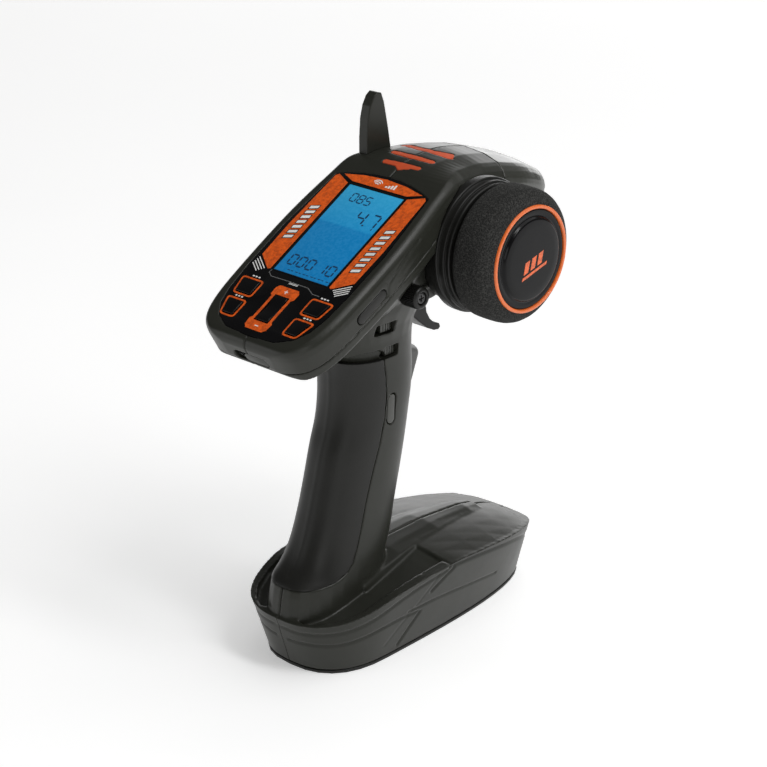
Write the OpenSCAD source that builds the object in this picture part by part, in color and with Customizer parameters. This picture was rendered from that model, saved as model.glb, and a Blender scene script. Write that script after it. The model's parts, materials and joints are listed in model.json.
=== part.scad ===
// Pistol-grip radio transmitter. Millimetres, +Z up, +Y away from the user,
// +X towards the steering wheel. Origin on the table under the body, on the seam plane.

/* [Base] */
// half width of the base at its rim
base_half_w = 35.8; // [34.6:0.2:37]
// rearmost point of the rim
base_back = 49; // [47:0.5:50]
// foremost point of the rim
base_front = 111; // [108:0.5:112]
// depth of the valley between rim and grip
valley_depth = 3; // [2:0.5:4]

/* [Grip] */
// half width of the grip
grip_half_w = 16; // [15:0.25:17]
// thickness of the rubber sleeve
sleeve_t = 2.2; // [1.8:0.1:2.6]

/* [Head] */
// half width of the head
head_half_w = 35.2; // [34.5:0.1:36]
// slope of the face
face_tilt = 28.9; // [28:0.1:30]
// wall thickness of the mouldings
wall = 2.2; // [1.8:0.1:2.6]
// height of the antenna fin above the dome
fin_h = 27; // [20:1:34]

/* [Wheel] */
// outer radius of the foam tyre
tyre_r = 29.8; // [28.5:0.1:30.5]
// width of the foam tyre
tyre_w = 20; // [18:0.5:22]
// radius of the coloured ring
ring_r = 23.2; // [22:0.1:24]

/* [Controls] */
// width of the trigger
trigger_w = 9; // [7:0.5:10]
// radius of the trim knob
knob_r = 5; // [4:0.1:5.6]

/* [Hidden] */
$fn = 32;
gap = 0.05;
big = 600;
face_y = -4.5;
face_z = 193.45;
lid_depth = 18.5;
seam_depth = 12.9;
wheel_y = 49.7;
wheel_z = 182.4;
housing_x0 = 22;
housing_x1 = 39.4;
tyre_x0 = 40.6;
trigger_y = 42;
trigger_z = 167;
trigger_pin_r = 1.5;
knob_y = 8;
knob_z = 170;
knob_x0 = 27;
floor_z = 1.6;
floor_t = 1.8;
cell_r = 7.1;
cell_l = 49.6;
cell_z = 13;
bay_back = -12;
bay_front = 92;
lcd_w = 31.4;
lcd_l = 54;
plate_t = 1.2;
shaft_r = 3;
run_gap = 0.06;
move_gap = 0.35;
power_n = -9.6;

// ---------- shared curves ----------

function egg_w(y, y0, y1, w, p0, p1) =
    let (yc = -5, u = y < yc ? (yc - y) / (yc - y0) : (y - yc) / (y1 - yc))
    let (p = y < yc ? p0 : p1)
    w * pow(max(0, 1 - pow(min(u, 1), p)), 1 / p);

function egg(y0, y1, w, p0, p1, n = 22) = concat(
    [for (i = [0:n]) let (y = (y0 + y1) / 2 - (y1 - y0) / 2 * cos(180 * i / n))
        [egg_w(y, y0, y1, w, p0, p1), y]],
    [for (i = [n - 1:-1:1]) let (y = (y0 + y1) / 2 - (y1 - y0) / 2 * cos(180 * i / n))
        [-egg_w(y, y0, y1, w, p0, p1), y]]
);

function oval(a, y0, y1, p = 2.4, n = 28) =
    [for (i = [0:n - 1]) let (c = cos(360 * i / n), s = sin(360 * i / n))
        [a * sign(c) * pow(abs(c), 2 / p),
         (y0 + y1) / 2 + (y1 - y0) / 2 * sign(s) * pow(abs(s), 2 / p)]];

function face_pos(l, n = 0) =
    [0, face_y + l * cos(face_tilt) - n * sin(face_tilt),
     face_z + l * sin(face_tilt) + n * cos(face_tilt)];

module on_face() {
    translate([0, face_y, face_z]) rotate([face_tilt, 0, 0]) children();
}

// closed skin through cross-sections that all have the same number of points
module loft(rows) {
    n = len(rows[0]);
    m = len(rows);
    polyhedron(
        points = [for (r = rows) for (p = r) p],
        faces = concat(
            [[for (k = [0:n - 1]) k]],
            [[for (k = [n - 1:-1:0]) (m - 1) * n + k]],
            [for (i = [0:m - 2]) for (k = [0:n - 1]) let (a = i * n + k, b = i * n + (k + 1) % n)
                [a, a + n, b + n]],
            [for (i = [0:m - 2]) for (k = [0:n - 1]) let (a = i * n + k, b = i * n + (k + 1) % n)
                [a, b + n, b]]
        )
    );
}

module slab(points) {
    linear_extrude(0.02) polygon(points);
}

module side_cut(points, w = 60) {
    rotate([90, 0, 90]) translate([0, 0, -w]) linear_extrude(2 * w) polygon(points);
}

module half(side) {
    translate([side > 0 ? gap / 2 : -big - gap / 2, -big / 2, -big / 2]) cube(big);
}

module x_rod(y, z, x0, x1, r) {
    translate([x0, y, z]) rotate([0, 90, 0]) cylinder(r = r, h = x1 - x0);
}

// ---------- outer shape of the base ----------

rim_line = [
    [-51, 25], [-42, 26.5], [-32, 28.2], [-22, 30.4], [-10, 33.5], [4, 35.2],
    [20, 36.2], [34, 36.2], [50, 34.6], [66, 32.2], [82, 28.4], [97, 23.4],
    [105, 20], [114, 16]
];
crown_line = [
    [-51, 25.2], [-42, 26.8], [-32, 28.6], [-22, 31], [-10, 34.2], [4, 36.8],
    [20, 38.8], [34, 39.6], [50, 39.4], [66, 38.1], [82, 35.8], [97, 31.8],
    [105, 27], [114, 19.6]
];
tongue = [[-10, 19, 37.4], [18, 16.6, 40.6], [48, 12.6, 41.2], [76, 8.4, 38.8], [85, 6.5, 36.8]];

module base_walls(t) {
    hull() {
        translate([0, 0, floor_z]) slab(egg(t - 38, 107 - t, 28 - t, 2.5, 3));
        translate([0, 0, 36])
            slab(egg(t - base_back, base_front - t, base_half_w - t, 2.5, 3.5));
        translate([0, 0, 42])
            slab(egg(t - base_back - 1, base_front - t, base_half_w + 1 - t, 2.5, 3.5));
    }
}

// cross-sections run clockwise as seen from the back
function crown_row(i, t, w = 42) =
    let (y = crown_line[i][0], rim = rim_line[i][1] - t, top = crown_line[i][1] - t)
    concat([[w, y, -5], [-w, y, -5]],
           [for (k = [-5:5]) let (x = w * k / 5)
               [x, y, top + (rim - top) * min(1.6, pow(abs(x) / base_half_w, 2.2))]]);

module base_outer(t = 0) {
    intersection() {
        base_walls(t);
        loft([for (i = [0:len(crown_line) - 1]) crown_row(i, t)]);
    }
}

// [y, height of the valley's edge, rise of its middle] from the heel to the step in front of the grip
valley_line = [
    [-42.4, 27, 0], [-39, 27.6, 0], [-32, 29, 0.2], [-22, 31.6, 0.5], [-10, 33.8, 0.9],
    [4, 36, 1.4], [20, 38.2, 1.9], [29.2, 38.8, 2.2]
];

module valley(grow = 0) {
    loft([for (v = valley_line)
        let (y = v[0] + (v[0] > 25 ? grow : 0), z = v[1] - valley_depth - grow)
        let (w = grow + egg_w(y, 4.6 - base_back, base_front, base_half_w - 4.6, 2.5, 3.5))
        [[w, y, z + 14], [w, y, z + 1.4], [w - 1.4, y, z], [w * 0.5, y, z + v[2]], [-w * 0.5, y, z + v[2]],
         [1.4 - w, y, z], [-w, y, z + 1.4], [-w, y, z + 14]]]);
}

module tongue_solid() {
    loft([for (g = tongue) let (y = g[0], w = g[1], z = g[2])
        [[w + 1.5, y, 24], [-w - 1.5, y, 24], [-w - 0.6, y, z - 4], [1 - w, y, z - 1.6],
         [-w * 0.5, y, z - 0.4], [0, y, z], [w * 0.5, y, z - 0.4], [w - 1, y, z - 1.6],
         [w + 0.6, y, z - 4]]]);
}

// ---------- outer shape of grip and neck ----------

grip_rows = [
    [24, -44.5, 19, 19.4], [30, -44, 18.6, 18.8], [36, -43, 17.8, 18], [40.5, -41.8, 17.2, 17.4],
    [44, -38, 17.4, 17], [48, -34.4, 18.6, 16.8], [54, -30.8, 20.6, 16.5], [66, -26, 23.2, 16.2],
    [81, -21.6, 27, 16], [97, -17.2, 30.4, 16], [108, -13.4, 32, 16.2], [118, -11.6, 33.2, 16.6],
    [128, -11.2, 33.4, 17], [138, -12.4, 32.6, 17.6], [146, -15, 32.4, 18.6],
    [153, -19, 33.6, 20.4], [160, -23, 38, 22.8], [168, -22, 46, 25]
];

function grip_row(i, t) =
    let (g = grip_rows[i], k = grip_half_w / 16)
    [for (p = oval(g[3] * k - t, g[1] + t, g[2] - t)) [p[0], p[1], g[0]]];

module grip_outer(t = 0, last = len(grip_rows) - 1) {
    loft([for (i = [0:last]) grip_row(i, t)]);
}

module finger_rest() {
    hull() {
        translate([0, 26, 113]) scale([1.5, 1, 1.2]) sphere(r = 7, $fn = 20);
        translate([0, 38.6, 127]) scale([1.25, 1, 0.85]) sphere(r = 4.6, $fn = 20);
        translate([0, 26, 132]) scale([1.6, 1, 0.9]) sphere(r = 6.4, $fn = 20);
    }
}

sleeve_edge = [
    [-60, 39.6], [-36, 40], [-32.7, 40.4], [-24.5, 41.4], [-18.5, 43.6], [-14.4, 47], [-11.1, 53.8],
    [-8.2, 62.5], [-4.8, 74.2], [-0.5, 87.1], [3.8, 98.5], [6.4, 108.9], [7.4, 119.7],
    [6.5, 129.5], [4.6, 139.5], [3.6, 142.2], [1.4, 143.4], [-7, 143], [-11.7, 141], [-60, 137]
];

module sleeve_zone(t = 0) {
    side_cut([for (p = sleeve_edge) p + [p[0] > -50 ? t : 0, 0]]);
}

// ---------- outer shape of the head ----------

// [y, z, tilt, half width, drop of the top edges, bottom, tilt below the seam] of each section
function on_plane(l, w, top, bottom, low_tilt = face_tilt) =
    let (p = face_pos(l)) [p[1], p[2], face_tilt, w, top, bottom, low_tilt];

head_rows = [
    on_plane(-66.8, head_half_w - 21, -4, -11.5),
    on_plane(-66, head_half_w - 16, -2, -14),
    on_plane(-64.6, head_half_w - 11.6, -0.5, -16),
    on_plane(-62.6, head_half_w - 8.4, 0, -17.6),
    on_plane(-59.6, head_half_w - 5.6, 0, -18.8),
    on_plane(-55, head_half_w - 3.3, 0, -19.8),
    on_plane(-48, head_half_w - 1.6, 0, -21),
    on_plane(-38, head_half_w - 0.6, 0, -22),
    on_plane(-18, head_half_w, 0, -25, 22),
    on_plane(2, head_half_w - 0.1, 0, -33, 12),
    on_plane(18, head_half_w - 1.2, 0, -43, 4),
    on_plane(30, head_half_w - 2.6, 0, -51, -2),
    [31, 213, 26.5, head_half_w - 3.4, -0.2, -55, 0],
    [37, 215.4, 18, head_half_w - 4.4, -1, -56.5, 0],
    [43.5, 216.9, 9, head_half_w - 5.4, -2, -57, 0],
    [52, 217.4, 0, head_half_w - 6.6, -3, -57.5, 0],
    [62, 216.8, -6, head_half_w - 7.4, -3.2, -56.5, 0],
    [75, 214.2, -12, head_half_w - 8.6, -3.2, -52.5, 0]
];
hood_rows = [
    [75.25, 214.2, -12, head_half_w - 8.6, -3.2, -52.4, 0],
    [86, 210.8, 0, head_half_w - 9.2, -2.8, -46, 0],
    [95, 207.4, 0, head_half_w - 10.4, -2.2, -38, 0],
    [102.5, 203.4, 0, head_half_w - 12, -1.6, -26, 0],
    [107.6, 200, 0, head_half_w - 14, -1, -10, 0]
];

// half of a cross-section as [x, distance below the top skin]
function head_profile(r, t) =
    let (w = r[3] - t, b = r[5] + t, lip = r[0] < -55 ? min(0, r[4]) : 0, c = r[0] < -55 ? 0 : min(0, r[4]))
    let (m = min(1, -c / 2))
    [for (p = [[0.1, 0], [w * 0.45, 0.3 * c], [w - 3.2 - 3 * m, c], [w - 2.2 - 2.2 * m, c - 0.5 - 0.7 * m],
               [w - 1.2 - 1.2 * m, c - 1.5 - 1.7 * m], [w - 0.4 - 0.4 * m, c - 3 - 2.6 * m],
               [w, c - 5.4 - 3 * m], [w - 0.6, -17.2], [w - 9, -28], [w - 12, -60]])
        [p[0], max(b, min(lip - t, p[1] - t))]];

function head_point(r, x, n) =
    let (a = max(n, -lid_depth), b = min(0, n + lid_depth))
    [x, r[0] - a * sin(r[2]) - b * sin(r[6]), r[1] + a * cos(r[2]) + b * cos(r[6])];

function head_row(r, t) =
    let (h = head_profile(r, t))
    concat([for (p = h) head_point(r, p[0], p[1])],
           [for (i = [len(h) - 1:-1:0]) head_point(r, -h[i][0], h[i][1])]);

// smooth curve through b and c, with a and d as their outer neighbours
function between(a, b, c, d, t) =
    b + (c - a) * t / 2 + (2 * a - 5 * b + 4 * c - d) * t * t / 2
    + (3 * b - a - 3 * c + d) * t * t * t / 2;

// the same rows with n steps between each pair
function finer(rows, n = 3) = let (last = len(rows) - 1) concat(
    [for (i = [0:last - 1]) for (k = [0:n - 1])
        between(rows[max(0, i - 1)], rows[i], rows[i + 1], rows[min(last, i + 2)], k / n)],
    [rows[last]]
);

module head_loft(rows, t = 0, first = 0) {
    loft([for (r = finer([for (i = [first:len(rows) - 1]) rows[i]])) head_row(r, t)]);
}

// hollow of the head, open towards the hood
module head_hollow() {
    head_loft(concat([for (i = [0:len(head_rows) - 2]) head_rows[i]], [hood_rows[1]]), wall, 2);
}

// seam between head cover and body, seen from the side
seam_line = [
    face_pos(-90, -seam_depth), face_pos(24, -seam_depth), [0, 42, 199.4], [0, 56, 199.2],
    [0, 90, 194]
];

module above_seam(lift = 0) {
    side_cut(concat([for (p = seam_line) [p[1], p[2] + lift]], [[90, 260], [-120, 260]]));
}

module below_seam() {
    side_cut(concat([for (p = seam_line) [p[1], p[2] - gap]], [[90, -20], [-120, -20]]));
}

// ---------- cut-outs shared by the mouldings ----------

module drum_cut() {
    x_rod(wheel_y, wheel_z, housing_x0 - gap, 60, 27.1 + gap, $fn = 64);
    x_rod(wheel_y, wheel_z, housing_x0 + 7.4, 60, 30.3, $fn = 64);
}

module trigger_slot() {
    translate([-trigger_w / 2 - 1, trigger_y - 11.2, 144]) cube([trigger_w + 2, 28, 26]);
}

module switch_window(y, z, l, h) {
    translate([8, y - l / 2, z - h / 2]) cube([20, l, h]);
}

module long_button(l, w, x0, x1) {
    translate([0, 10.7, 112.9]) rotate([-3, 0, 0]) hull() {
        for (s = [-1, 1]) {
            translate([x0, 0, s * (l - w) / 2]) rotate([0, 90, 0]) cylinder(r = w / 2, h = x1 - x0);
        }
    }
}

module flap_box(side, x0, x1, grow) {
    l0 = side > 0 ? -31.2 : -16;
    on_face() hull() {
        for (l = [l0, l0 + 14.4]) {
            translate([side > 0 ? x0 : -x1, l, -8.9]) rotate([0, 90, 0])
                cylinder(r = 2.2 + grow, h = x1 - x0, $fn = 20);
        }
    }
}

// [y, z, half width of the body there] of each case screw
screw_spots = [[-26, 19, 27], [98, 14, 18], [20, 84, 12.4], [22, 152, 16], [67, 178, 21], [-8, 163, 20]];

module screw_towers(side) {
    for (s = screw_spots) {
        hull() {
            x_rod(s[0], s[1], side > 0 ? 0 : -1, side > 0 ? 1 : 0, 3.2, $fn = 16);
            x_rod(s[0], s[1], side > 0 ? s[2] : -s[2] - 6, side > 0 ? s[2] + 6 : -s[2], 3.8, $fn = 16);
        }
    }
}

module screw_holes() {
    for (s = screw_spots) {
        x_rod(s[0], s[1], -s[2] - 12, 7, 1.25, $fn = 12);
        x_rod(s[0], s[1], -s[2] - 12, 3 - s[2], 2.7, $fn = 16);
    }
}

// ---------- body and head mouldings ----------

module body_outer() {
    difference() {
        base_outer();
        valley();
    }
    intersection() {
        tongue_solid();
        base_walls(0);
    }
    grip_outer();
    finger_rest();
    intersection() {
        head_loft(head_rows);
        below_seam();
    }
}

module body_inner(side) {
    difference() {
        union() {
            difference() {
                base_outer(wall);
                valley(wall);
            }
            translate([0, 0, -1]) linear_extrude(6) polygon(egg(-38 + wall, 107 - wall, 28 - wall, 2.5, 3));
            grip_outer(wall + sleeve_t + 0.3);
            head_hollow();
        }
        screw_towers(side);
        x_rod(trigger_y, trigger_z, side > 0 ? 7 : -40, side > 0 ? 40 : -7, 4, $fn = 20);
    }
}

module body_half(side) {
    color([0.14, 0.15, 0.13]) difference() {
        intersection() {
            body_outer();
            half(side);
        }
        body_inner(side);
        intersection() {
            difference() {
                grip_outer(-2);
                grip_outer(sleeve_t + gap);
            }
            sleeve_zone(0.3);
        }
        screw_holes();
        drum_cut();
        trigger_slot();
        x_rod(trigger_y, trigger_z, -25, 25, trigger_pin_r + gap, $fn = 32);
        above_seam(0);
        if (side > 0) {
            switch_window(2.9, 153.6, 11.4, 5.6);
            switch_window(9, 140.8, 8.8, 5.6);
            long_button(14.8, 5.4, 8, 30, $fn = 24);
            x_rod(knob_y, knob_z, 12, 40, 2.4, $fn = 24);
            x_rod(knob_y, knob_z, knob_x0 - move_gap, 40, knob_r + move_gap, $fn = 48);
            x_rod(wheel_y, wheel_z, 11, 30, shaft_r + move_gap, $fn = 32);
        }
    }
}

module body_left() { body_half(-1); }

module body_right() { body_half(1); }

module power_slot(x0, x1, h, l0, l1) {
    on_face() translate([0, l1, power_n]) rotate([90, 0, 0]) hull() {
        for (x = [x0 + h / 2, x1 - h / 2]) {
            translate([x, 0, 0]) cylinder(r = h / 2, h = l1 - l0);
        }
    }
}

module plate_outline(grow = 0) {
    offset(delta = grow) polygon(concat(
        [[-29.4, -3.4], [-29.2, -28], [-28, -43], [-26, -51], [-21.6, -57.4], [-14, -61.4], [0, -62.4],
         [14, -61.4], [21.6, -57.4], [26, -51], [28, -43], [29.2, -28], [29.4, -3.4]],
        [for (k = [-4:4]) [-26.5 * k / 4, 36 - 5.4 * pow(k / 4, 2)]]
    ));
}

function key_shape(upper) = upper
    ? [[15, -35.8], [25.6, -35.8], [24.2, -43.8], [15, -43.8]]
    : [[15, -47.6], [24.2, -47.6], [21.6, -55.8], [15, -55.8]];

module key_2d(side, upper, grow) {
    offset(r = 0.8 + grow, $fn = 20) offset(delta = -0.8)
        polygon([for (p = key_shape(upper)) [side * p[0], p[1]]]);
}

module face_openings(grow) {
    translate([-lcd_w / 2 - grow, -lcd_l / 2 - grow]) square([lcd_w + 2 * grow, lcd_l + 2 * grow]);
    translate([-4 - grow, -54 - grow]) square([8 + 2 * grow, 15 + 2 * grow]);
    for (s = [-1, 1]) {
        key_2d(s, true, grow);
        key_2d(s, false, grow);
    }
}

// rounded strokes [x, y, radius] that make up the slots in the crown of the dome
vent_strokes = [
    [[-9.4, 34.8, 1.3], [0, 35.2, 1.4], [8.8, 35.8, 1.2]],
    [[-2, 34.6, 1.2], [0.6, 33.2, 1.3], [4.4, 34.8, 1.2]],
    [[-11.6, 42.7, 1.4], [-1, 42.2, 1.6], [10.4, 42.9, 1.3]],
    [[-15.6, 53.6, 1.4], [-3, 51.6, 1.7], [12, 52.3, 1.5]],
    [[4, 52.6, 1.6], [10.2, 55.4, 1.4], [12, 52.3, 1.6]]
];

module vent_cut(grow) {
    for (stroke = vent_strokes) {
        for (i = [0:len(stroke) - 2]) {
            hull() {
                for (p = [stroke[i], stroke[i + 1]]) {
                    translate([p[0], p[1], 190]) cylinder(r = p[2] + grow, h = 40, $fn = 20);
                }
            }
        }
    }
}

module head_half(side) {
    color([0.14, 0.15, 0.13]) difference() {
        intersection() {
            head_loft(head_rows);
            above_seam();
            half(side);
        }
        difference() {
            head_hollow();
            on_face() translate([-40, -80, -plate_t - 1.4]) cube([80, 116, 20]);
        }
        on_face() translate([0, 0, -plate_t]) linear_extrude(10) plate_outline(gap);
        on_face() translate([0, 0, -8]) linear_extrude(10) face_openings(0.5);
        vent_cut(gap);
        drum_cut();
        power_slot(-9, 11, 5, -72, -60);
        flap_box(side, 32.4, 40, 0.3);
        translate([-26.6, 36.2, 200]) cube([5.2, 16, 30]);
    }
}

module head_left() { head_half(-1); }

module head_right() { head_half(1); }

module hood() {
    color([0.2, 0.21, 0.18]) difference() {
        head_loft(hood_rows);
        difference() {
            head_loft(concat([head_rows[len(head_rows) - 2]], hood_rows), wall);
            translate([-40, 105.2, 100]) cube([80, 10, 150]);
        }
        drum_cut();
    }
}

module wheel_housing() {
    color([0.1, 0.1, 0.1]) difference() {
        translate([housing_x0, wheel_y, wheel_z]) rotate([0, 90, 0]) rotate_extrude($fn = 96)
            polygon([[shaft_r + run_gap, 0], [27, 0], [27, 7.5], [30, 7.5], [30, 12], [29.2, 12.6],
                     [28.6, 17.4], [25.4, 17.4], [25.4, 3], [7, 3], [7, 16], [shaft_r + run_gap, 16]]);
        x_rod(wheel_y, wheel_z, housing_x0 - 1, housing_x1, shaft_r + run_gap, $fn = 48);
    }
}

module grip_sleeve() {
    color([0.07, 0.07, 0.065]) difference() {
        intersection() {
            grip_outer(0.02, 13);
            sleeve_zone();
        }
        grip_outer(sleeve_t, 13);
    }
}

module antenna_fin() {
    color([0.12, 0.12, 0.11]) difference() {
        translate([-24, 0, 0]) rotate([90, 0, 90]) translate([0, 0, -2.55]) linear_extrude(5.1) polygon([
            [36.3, 209], [36.3, 222], [36.9, 230], [38.4, 235.6], [40.6, 212.4 + fin_h],
            [43, 214 + fin_h], [45.4, 213.4 + fin_h], [47.2, 236], [49.8, 224], [52, 212], [52, 209]
        ]);
        translate([-24, 44, 200]) cylinder(r = 1.25, h = 34, $fn = 32);
    }
}

module antenna_element() {
    color([0.75, 0.6, 0.3]) translate([-24, 44, 203]) cylinder(r = 1.2, h = 30, $fn = 32);
}

// ---------- face of the head ----------

module vent_inlays() {
    color([0.78, 0.2, 0.08]) intersection() {
        difference() {
            head_loft(head_rows, 0.02, 9);
            head_loft(head_rows, wall - 0.4, 9);
        }
        vent_cut(0);
    }
}

module face_plate() {
    color([0.02, 0.02, 0.02]) on_face() translate([0, 0, -plate_t]) linear_extrude(plate_t)
        difference() {
            plate_outline();
            face_openings(0.05);
        }
}

module display() {
    color([0.05, 0.35, 0.6]) on_face() translate([-lcd_w / 2, -lcd_l / 2, -4.6])
        cube([lcd_w, lcd_l, 4.4]);
}

module key(side, upper) {
    color([0.05, 0.05, 0.05]) on_face() {
        translate([0, 0, -3.6]) linear_extrude(4.4) key_2d(side, upper, -move_gap);
        translate([0, 0, -4.4]) linear_extrude(0.85) key_2d(side, upper, 0.5);
    }
}

module key_upper_left() { key(-1, true); }

module key_lower_left() { key(-1, false); }

module key_upper_right() { key(1, true); }

module key_lower_right() { key(1, false); }

module menu_rocker() {
    color([0.05, 0.05, 0.05]) on_face() translate([-4 + move_gap, -46.5, -2.4]) rotate([90, 0, 90]) {
        linear_extrude(8 - 2 * move_gap) polygon([
            [-7.1, -0.9], [-7.1, 3], [-5, 3], [-2.6, 2.3], [0, 2], [2.6, 2.3], [5, 3], [7.1, 3],
            [7.1, -0.9], [1.4, -1.2], [-1.4, -1.2]
        ]);
        cylinder(r = 1.9, h = 8 - 2 * move_gap, $fn = 32);
    }
}

module power_switch() {
    color([0.14, 0.15, 0.13]) {
        power_slot(-3, 10.6, 4.2, -66.4, -61.5);
        on_face() translate([-7, -61.6, power_n - 3.4]) cube([21, 1, 6.8]);
    }
}

module main_board() {
    color([0.05, 0.3, 0.12]) on_face() {
        translate([-26, -56, -9.6]) cube([52, 92, 1.6]);
        translate([-17, -28, -8]) cube([34, 56, 3]);
        for (s = [-1, 1]) {
            for (l = [-39.8, -51.6]) {
                translate([s * 19.6 - 3, l - 3, -8]) cube([6, 6, 2.4]);
            }
        }
    }
}

module radio_module() {
    color([0.05, 0.25, 0.4]) {
        translate([-20, 44, 201.4]) cube([26, 24, 1.6]);
        translate([-12, 48, 203]) cube([14, 14, 2.4]);
    }
}

// ---------- grip controls ----------

module slide_block(y, z, l, h, x1) {
    color([0.2, 0.21, 0.18]) {
        translate([12.4, y - l / 2, z - h / 2]) cube([x1 - 12.4, l, h]);
        translate([11.2, y - l / 2 - 1, z - h / 2 - 1]) cube([1.2, l + 2, h + 2]);
    }
}

module upper_grip_switch() { slide_block(5, 153.6, 6.8, 4.8, 18.2); }

module lower_grip_switch() { slide_block(10.2, 140.8, 6, 4.8, 15.6); }

module grip_button() { color([0.2, 0.21, 0.18]) long_button(14, 4.6, 10.6, 16.3, $fn = 24); }

module switch_board() {
    color([0.05, 0.3, 0.12]) translate([7.4, 2, 104]) cube([1.4, 12, 54]);
}

// ---------- trim knob ----------

module trim_knob() {
    color([0.04, 0.04, 0.04]) difference() {
        union() {
            difference() {
                x_rod(knob_y, knob_z, knob_x0, knob_x0 + 9.4, knob_r, $fn = 48);
                for (i = [0:23]) {
                    translate([knob_x0 + 1, knob_y, knob_z]) rotate([15 * i, 0, 0])
                        translate([0, knob_r, 0]) cube([7.2, 0.5, 0.5]);
                }
            }
            x_rod(knob_y, knob_z, 13, knob_x0 + 0.1, 1.9, $fn = 32);
        }
        x_rod(knob_y, knob_z, knob_x0 + 7, knob_x0 + 10, 2.7, $fn = 32);
        x_rod(knob_y, knob_z, knob_x0 + 0.5, knob_x0 + 10, 1.05, $fn = 24);
    }
}

module trim_screw() {
    color([0.4, 0.4, 0.4]) difference() {
        union() {
            x_rod(knob_y, knob_z, knob_x0 + 7.05, knob_x0 + 8.9, 2.4, $fn = 32);
            x_rod(knob_y, knob_z, knob_x0 + 1, knob_x0 + 7.1, 1, $fn = 24);
        }
        for (a = [0, 90]) {
            translate([knob_x0 + 8.9, knob_y, knob_z]) rotate([a, 0, 0]) cube([1.6, 0.6, 3], center = true);
        }
    }
}

module trim_sensor() {
    color([0.1, 0.1, 0.12]) translate([6, knob_y - 5, knob_z - 5]) cube([6.8, 10, 10]);
}

// ---------- trigger ----------

trigger_profile = [
    [38, 163], [38.4, 154], [37, 149], [38.2, 144.8], [42.4, 140.9], [47.7, 136.6], [52, 134.4],
    [55, 133.9], [56.3, 134.9], [55.5, 136.8], [52, 138.2], [49.2, 140.8], [47, 144.6],
    [46.3, 148.5], [46.8, 156], [46.6, 165], [44.8, 171.6], [39.2, 171.6]
];

module trigger() {
    color([0.1, 0.1, 0.095]) difference() {
        side_cut(trigger_profile, trigger_w / 2);
        x_rod(trigger_y, trigger_z, -20, 20, trigger_pin_r + run_gap, $fn = 48);
    }
}

module trigger_pin() {
    color([0.6, 0.6, 0.6]) x_rod(trigger_y, trigger_z, -16, 16, trigger_pin_r, $fn = 48);
}

module trigger_spring() {
    color([0.6, 0.6, 0.6]) for (s = [-1, 1]) {
        translate([s * 5.8, trigger_y, trigger_z]) rotate([0, 90, 0])
            rotate_extrude($fn = 32) translate([2.6, 0]) circle(0.5, $fn = 16);
    }
}

module trigger_sensor() {
    color([0.1, 0.1, 0.12]) translate([-15.5, trigger_y - 6, 174]) cube([10.5, 12, 7]);
}

// ---------- steering wheel ----------

module wheel_shaft() {
    color([0.6, 0.6, 0.6]) x_rod(wheel_y, wheel_z, 10, 53, shaft_r, $fn = 48);
}

module on_wheel(x) {
    translate([x, wheel_y, wheel_z]) rotate([0, 90, 0]) children();
}

module wheel_hub() {
    color([0.08, 0.08, 0.08]) on_wheel(tyre_x0) rotate_extrude($fn = 96) polygon([
        [shaft_r + 0.01, 0], [6, 0], [6, 11], [19.6, 11], [19.6, 0.4], [21.4, 0.4],
        [21.4, tyre_w - 1.6], [20, tyre_w - 1.6], [20, 14], [shaft_r + 0.01, 14]
    ]);
}

module foam_tyre() {
    r = tyre_r;
    w = tyre_w;
    color([0.12, 0.12, 0.12]) on_wheel(tyre_x0) rotate_extrude($fn = 96) polygon([
        [21.45, 0], [r - 3, 0], [r - 1.2, 0.9], [r - 0.3, 2.6], [r, 5], [r, w - 8.6], [r - 0.5, w - 5.2],
        [r - 1.4, w - 3.6], [r - 2.7, w - 2.4], [r - 4.4, w - 1.2], [ring_r + 0.5, w - 0.4],
        [ring_r + 0.5, w - 1.5], [21.45, w - 1.5]
    ]);
}

module wheel_ring() {
    color([0.9, 0.3, 0.08]) on_wheel(tyre_x0 + tyre_w - 1.45) rotate_extrude($fn = 96)
        polygon([[ring_r - 1.2, 0], [ring_r + 0.45, 0], [ring_r + 0.45, 1.6], [ring_r + 0.1, 1.9],
                 [ring_r - 0.9, 1.9], [ring_r - 1.2, 1.6]]);
}

module wheel_cap() {
    color([0.02, 0.02, 0.02]) on_wheel(tyre_x0 + tyre_w - 1.45) rotate_extrude($fn = 96)
        polygon([[0, 0], [ring_r - 1.25, 0], [ring_r - 1.25, 1.3], [19.6, 1.3], [18.8, 0.9], [18.2, 1.3],
                 [17.4, 2.1], [12, 2.5], [0, 2.8]]);
}

module wheel_screw() {
    color([0.6, 0.6, 0.6]) on_wheel(tyre_x0 + 14.05) difference() {
        cylinder(r = 4.4, h = 2.4);
        translate([0, 0, 2.4]) cube([6, 0.9, 1.6], center = true);
    }
}

module return_spring() {
    color([0.6, 0.6, 0.6]) for (k = [0:2]) {
        translate([12 + 1.3 * k, wheel_y, wheel_z]) rotate([0, 90, 0])
            rotate_extrude($fn = 32) translate([5, 0]) circle(0.5, $fn = 16);
    }
}

module steering_sensor() {
    color([0.1, 0.1, 0.12]) difference() {
        translate([3, wheel_y - 8, wheel_z - 8]) cube([8, 16, 16]);
        x_rod(wheel_y, wheel_z, 8, 12, shaft_r + run_gap, $fn = 48);
    }
}

// ---------- port flaps and socket ----------

module port_flap(side) {
    color([0.09, 0.09, 0.085]) flap_box(side, 32.65, 35, 0);
}

module port_flap_right() { port_flap(1); }

module port_flap_left() { port_flap(-1); }

module data_socket() {
    color([0.05, 0.05, 0.05]) on_face() translate([26.2, -29, -10.4]) cube([5.4, 10, 3]);
}

// ---------- base ----------

module base_floor() {
    color([0.1, 0.1, 0.095]) difference() {
        translate([0, 0, floor_z]) linear_extrude(floor_t)
            polygon(egg(-38 + wall + gap, 107 - wall - gap, 28 - wall - gap, 2.5, 3));
        translate([-16.6, bay_back, 0]) cube([33.2, bay_front - bay_back, 10]);
    }
}

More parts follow.
